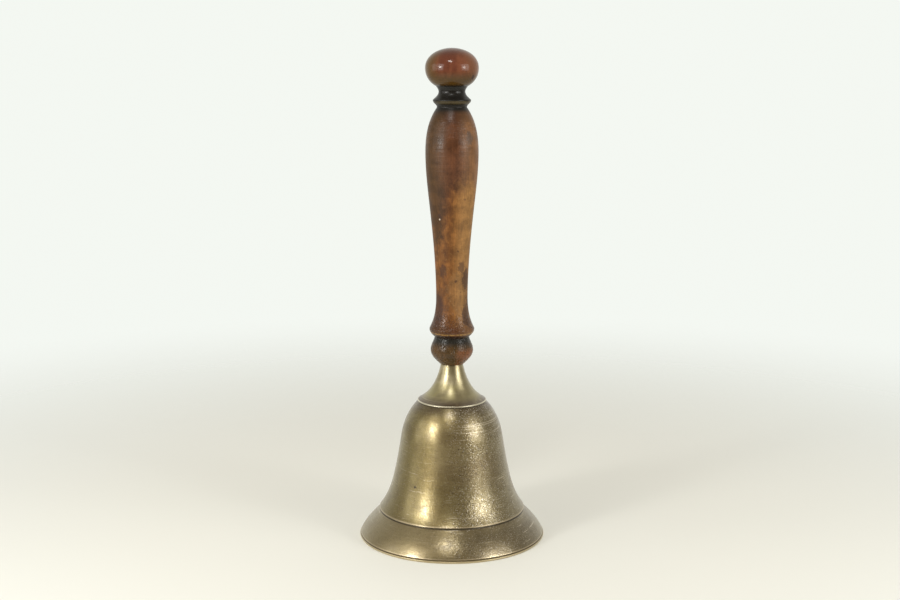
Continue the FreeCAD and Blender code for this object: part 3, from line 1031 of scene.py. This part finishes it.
def floor_mesh():
    """Wide flat rings, open under the bell's mouth."""
    form = bmesh.new()
    rings = []
    for radius in FLOOR_RINGS:
        ring = []
        for i in range(FLOOR_FACETS):
            angle = 2 * math.pi * i / FLOOR_FACETS
            ring.append(form.verts.new((radius * math.cos(angle), radius * math.sin(angle), 0)))
        rings.append(ring)
    for inner, outer in zip(rings, rings[1:]):
        for i in range(FLOOR_FACETS):
            j = (i + 1) % FLOOR_FACETS
            form.faces.new((inner[i], outer[i], outer[j], inner[j]))
    mesh = bpy.data.meshes.new("floor")
    form.to_mesh(mesh)
    form.free()
    return mesh


def make_pale_floor():
    """Pale matt surface that fades out away from the bell, and that can't be seen from below."""
    floor = Shader("pale_floor", Base_Color=rgb(0.80, 0.80, 0.74), Roughness=0.7, Specular_IOR_Level=0.15,
                   Emission_Color=rgb(0.97, 1.0, 0.94), Emission_Strength=FLOOR_GLOW)
    place = floor.node("ShaderNodeNewGeometry", "Position")
    away = floor.node("ShaderNodeVectorMath", "Value", {0: place}, operation="LENGTH")
    below = place.node.outputs["Backfacing"]
    gone = floor.math("MAXIMUM", below, floor.fade(away, FLOOR_FADE, FLOOR_END))
    clear = floor.node("ShaderNodeBsdfTransparent")
    shown = floor.node("ShaderNodeMixShader", inputs={0: gone, 1: floor.surface.outputs[0], 2: clear})
    floor.put(floor.output.inputs["Surface"], shown)
    return floor.material


def make_floor():
    """The floor that the bell stands on. It is only scenery."""
    mesh = floor_mesh()
    mesh.materials.append(make_pale_floor())
    floor = bpy.data.objects.new("floor", mesh)
    bpy.context.scene.collection.objects.link(floor)


def make_world():
    """Pale surroundings. Their light is dimmer and warmer on the side that the camera stands on."""
    world = bpy.data.worlds.new("studio")
    bpy.context.scene.world = world
    world.use_nodes = True
    tree = world.node_tree
    tree.nodes.clear()
    way = tree.nodes.new("ShaderNodeTexCoord")
    parts = tree.nodes.new("ShaderNodeSeparateXYZ")
    tree.links.new(way.outputs["Generated"], parts.inputs[0])
    ramp = tree.nodes.new("ShaderNodeValToRGB")
    ramp.color_ramp.interpolation = "EASE"
    ramp.color_ramp.elements[0].color = rgb(*ROOM_FRONT)
    ramp.color_ramp.elements[1].color = rgb(*ROOM_BEHIND)
    side = ramp.color_ramp.elements.new(0.5)
    side.color = rgb(*ROOM_SIDE)
    half = tree.nodes.new("ShaderNodeMapRange")
    half.inputs["From Min"].default_value = -0.8
    half.inputs["From Max"].default_value = 0.9
    tree.links.new(parts.outputs[1], half.inputs["Value"])
    tree.links.new(half.outputs[0], ramp.inputs[0])
    light = tree.nodes.new("ShaderNodeBackground")
    tree.links.new(ramp.outputs[0], light.inputs["Color"])
    seen = tree.nodes.new("ShaderNodeBackground")
    seen.inputs["Color"].default_value = rgb(*ROOM_SEEN)
    path = tree.nodes.new("ShaderNodeLightPath")
    choose = tree.nodes.new("ShaderNodeMixShader")
    tree.links.new(path.outputs["Is Camera Ray"], choose.inputs[0])
    tree.links.new(light.outputs[0], choose.inputs[1])
    tree.links.new(seen.outputs[0], choose.inputs[2])
    output = tree.nodes.new("ShaderNodeOutputWorld")
    tree.links.new(choose.outputs[0], output.inputs["Surface"])


def make_softbox(name, bearing, rise, distance, width, height, watts):
    """Rectangular soft light on a bearing from the bell, turned to face its middle."""
    target = Vector((0, 0, 0.06))
    turn = math.radians(bearing)
    lift = math.radians(rise)
    way = Vector((math.sin(turn) * math.cos(lift), -math.cos(turn) * math.cos(lift), math.sin(lift)))
    light = bpy.data.lights.new(name, "AREA")
    light.shape = "RECTANGLE"
    light.size = width
    light.size_y = height
    light.energy = watts
    light.color = (1.0, 0.985, 0.95)
    lamp = bpy.data.objects.new(name, light)
    lamp.location = target + way * distance
    lamp.rotation_mode = "QUATERNION"
    lamp.rotation_quaternion = way.to_track_quat("Z", "Y")
    lamp.visible_camera = False
    bpy.context.scene.collection.objects.link(lamp)


def make_lights():
    """A softbox on each side, brightest in its middle, a smaller one overhead, a window far left, and
    a weak light under the open floor, which only reaches the inside of the bell."""
    make_softbox("left_softbox", -50, 22, 0.62, 0.26, 0.36, 1.0)
    make_softbox("left_core", -50, 22, 0.60, 0.09, 0.10, 0.75)
    make_softbox("right_softbox", 58, 20, 0.62, 0.36, 0.36, 1.08)
    make_softbox("right_core", 53, 20, 0.60, 0.08, 0.10, 0.38)
    make_softbox("top_softbox", -10, 56, 0.80, 0.15, 0.12, 1.15)
    make_softbox("window", -80, 14, 1.1, 0.45, 0.60, 1.2)
    make_softbox("mouth_light", -30, -75, 0.26, 0.08, 0.08, 0.25)


def make_camera():
    """Camera at the knob's height, in front of the bell and looking slightly down at it."""
    camera = bpy.data.cameras.new("camera")
    camera.lens = 56
    camera.sensor_width = 36
    camera.clip_start = 0.01
    holder = bpy.data.objects.new("camera", camera)
    holder.location = (-0.0009, -0.6602, 0.2298)
    holder.rotation_euler = (math.radians(90 - 9.79), 0, 0)
    bpy.context.scene.collection.objects.link(holder)
    bpy.context.scene.camera = holder


make_pieces()
make_floor()
make_world()
make_lights()
make_camera()
bpy.context.scene.view_settings.view_transform = "Standard"
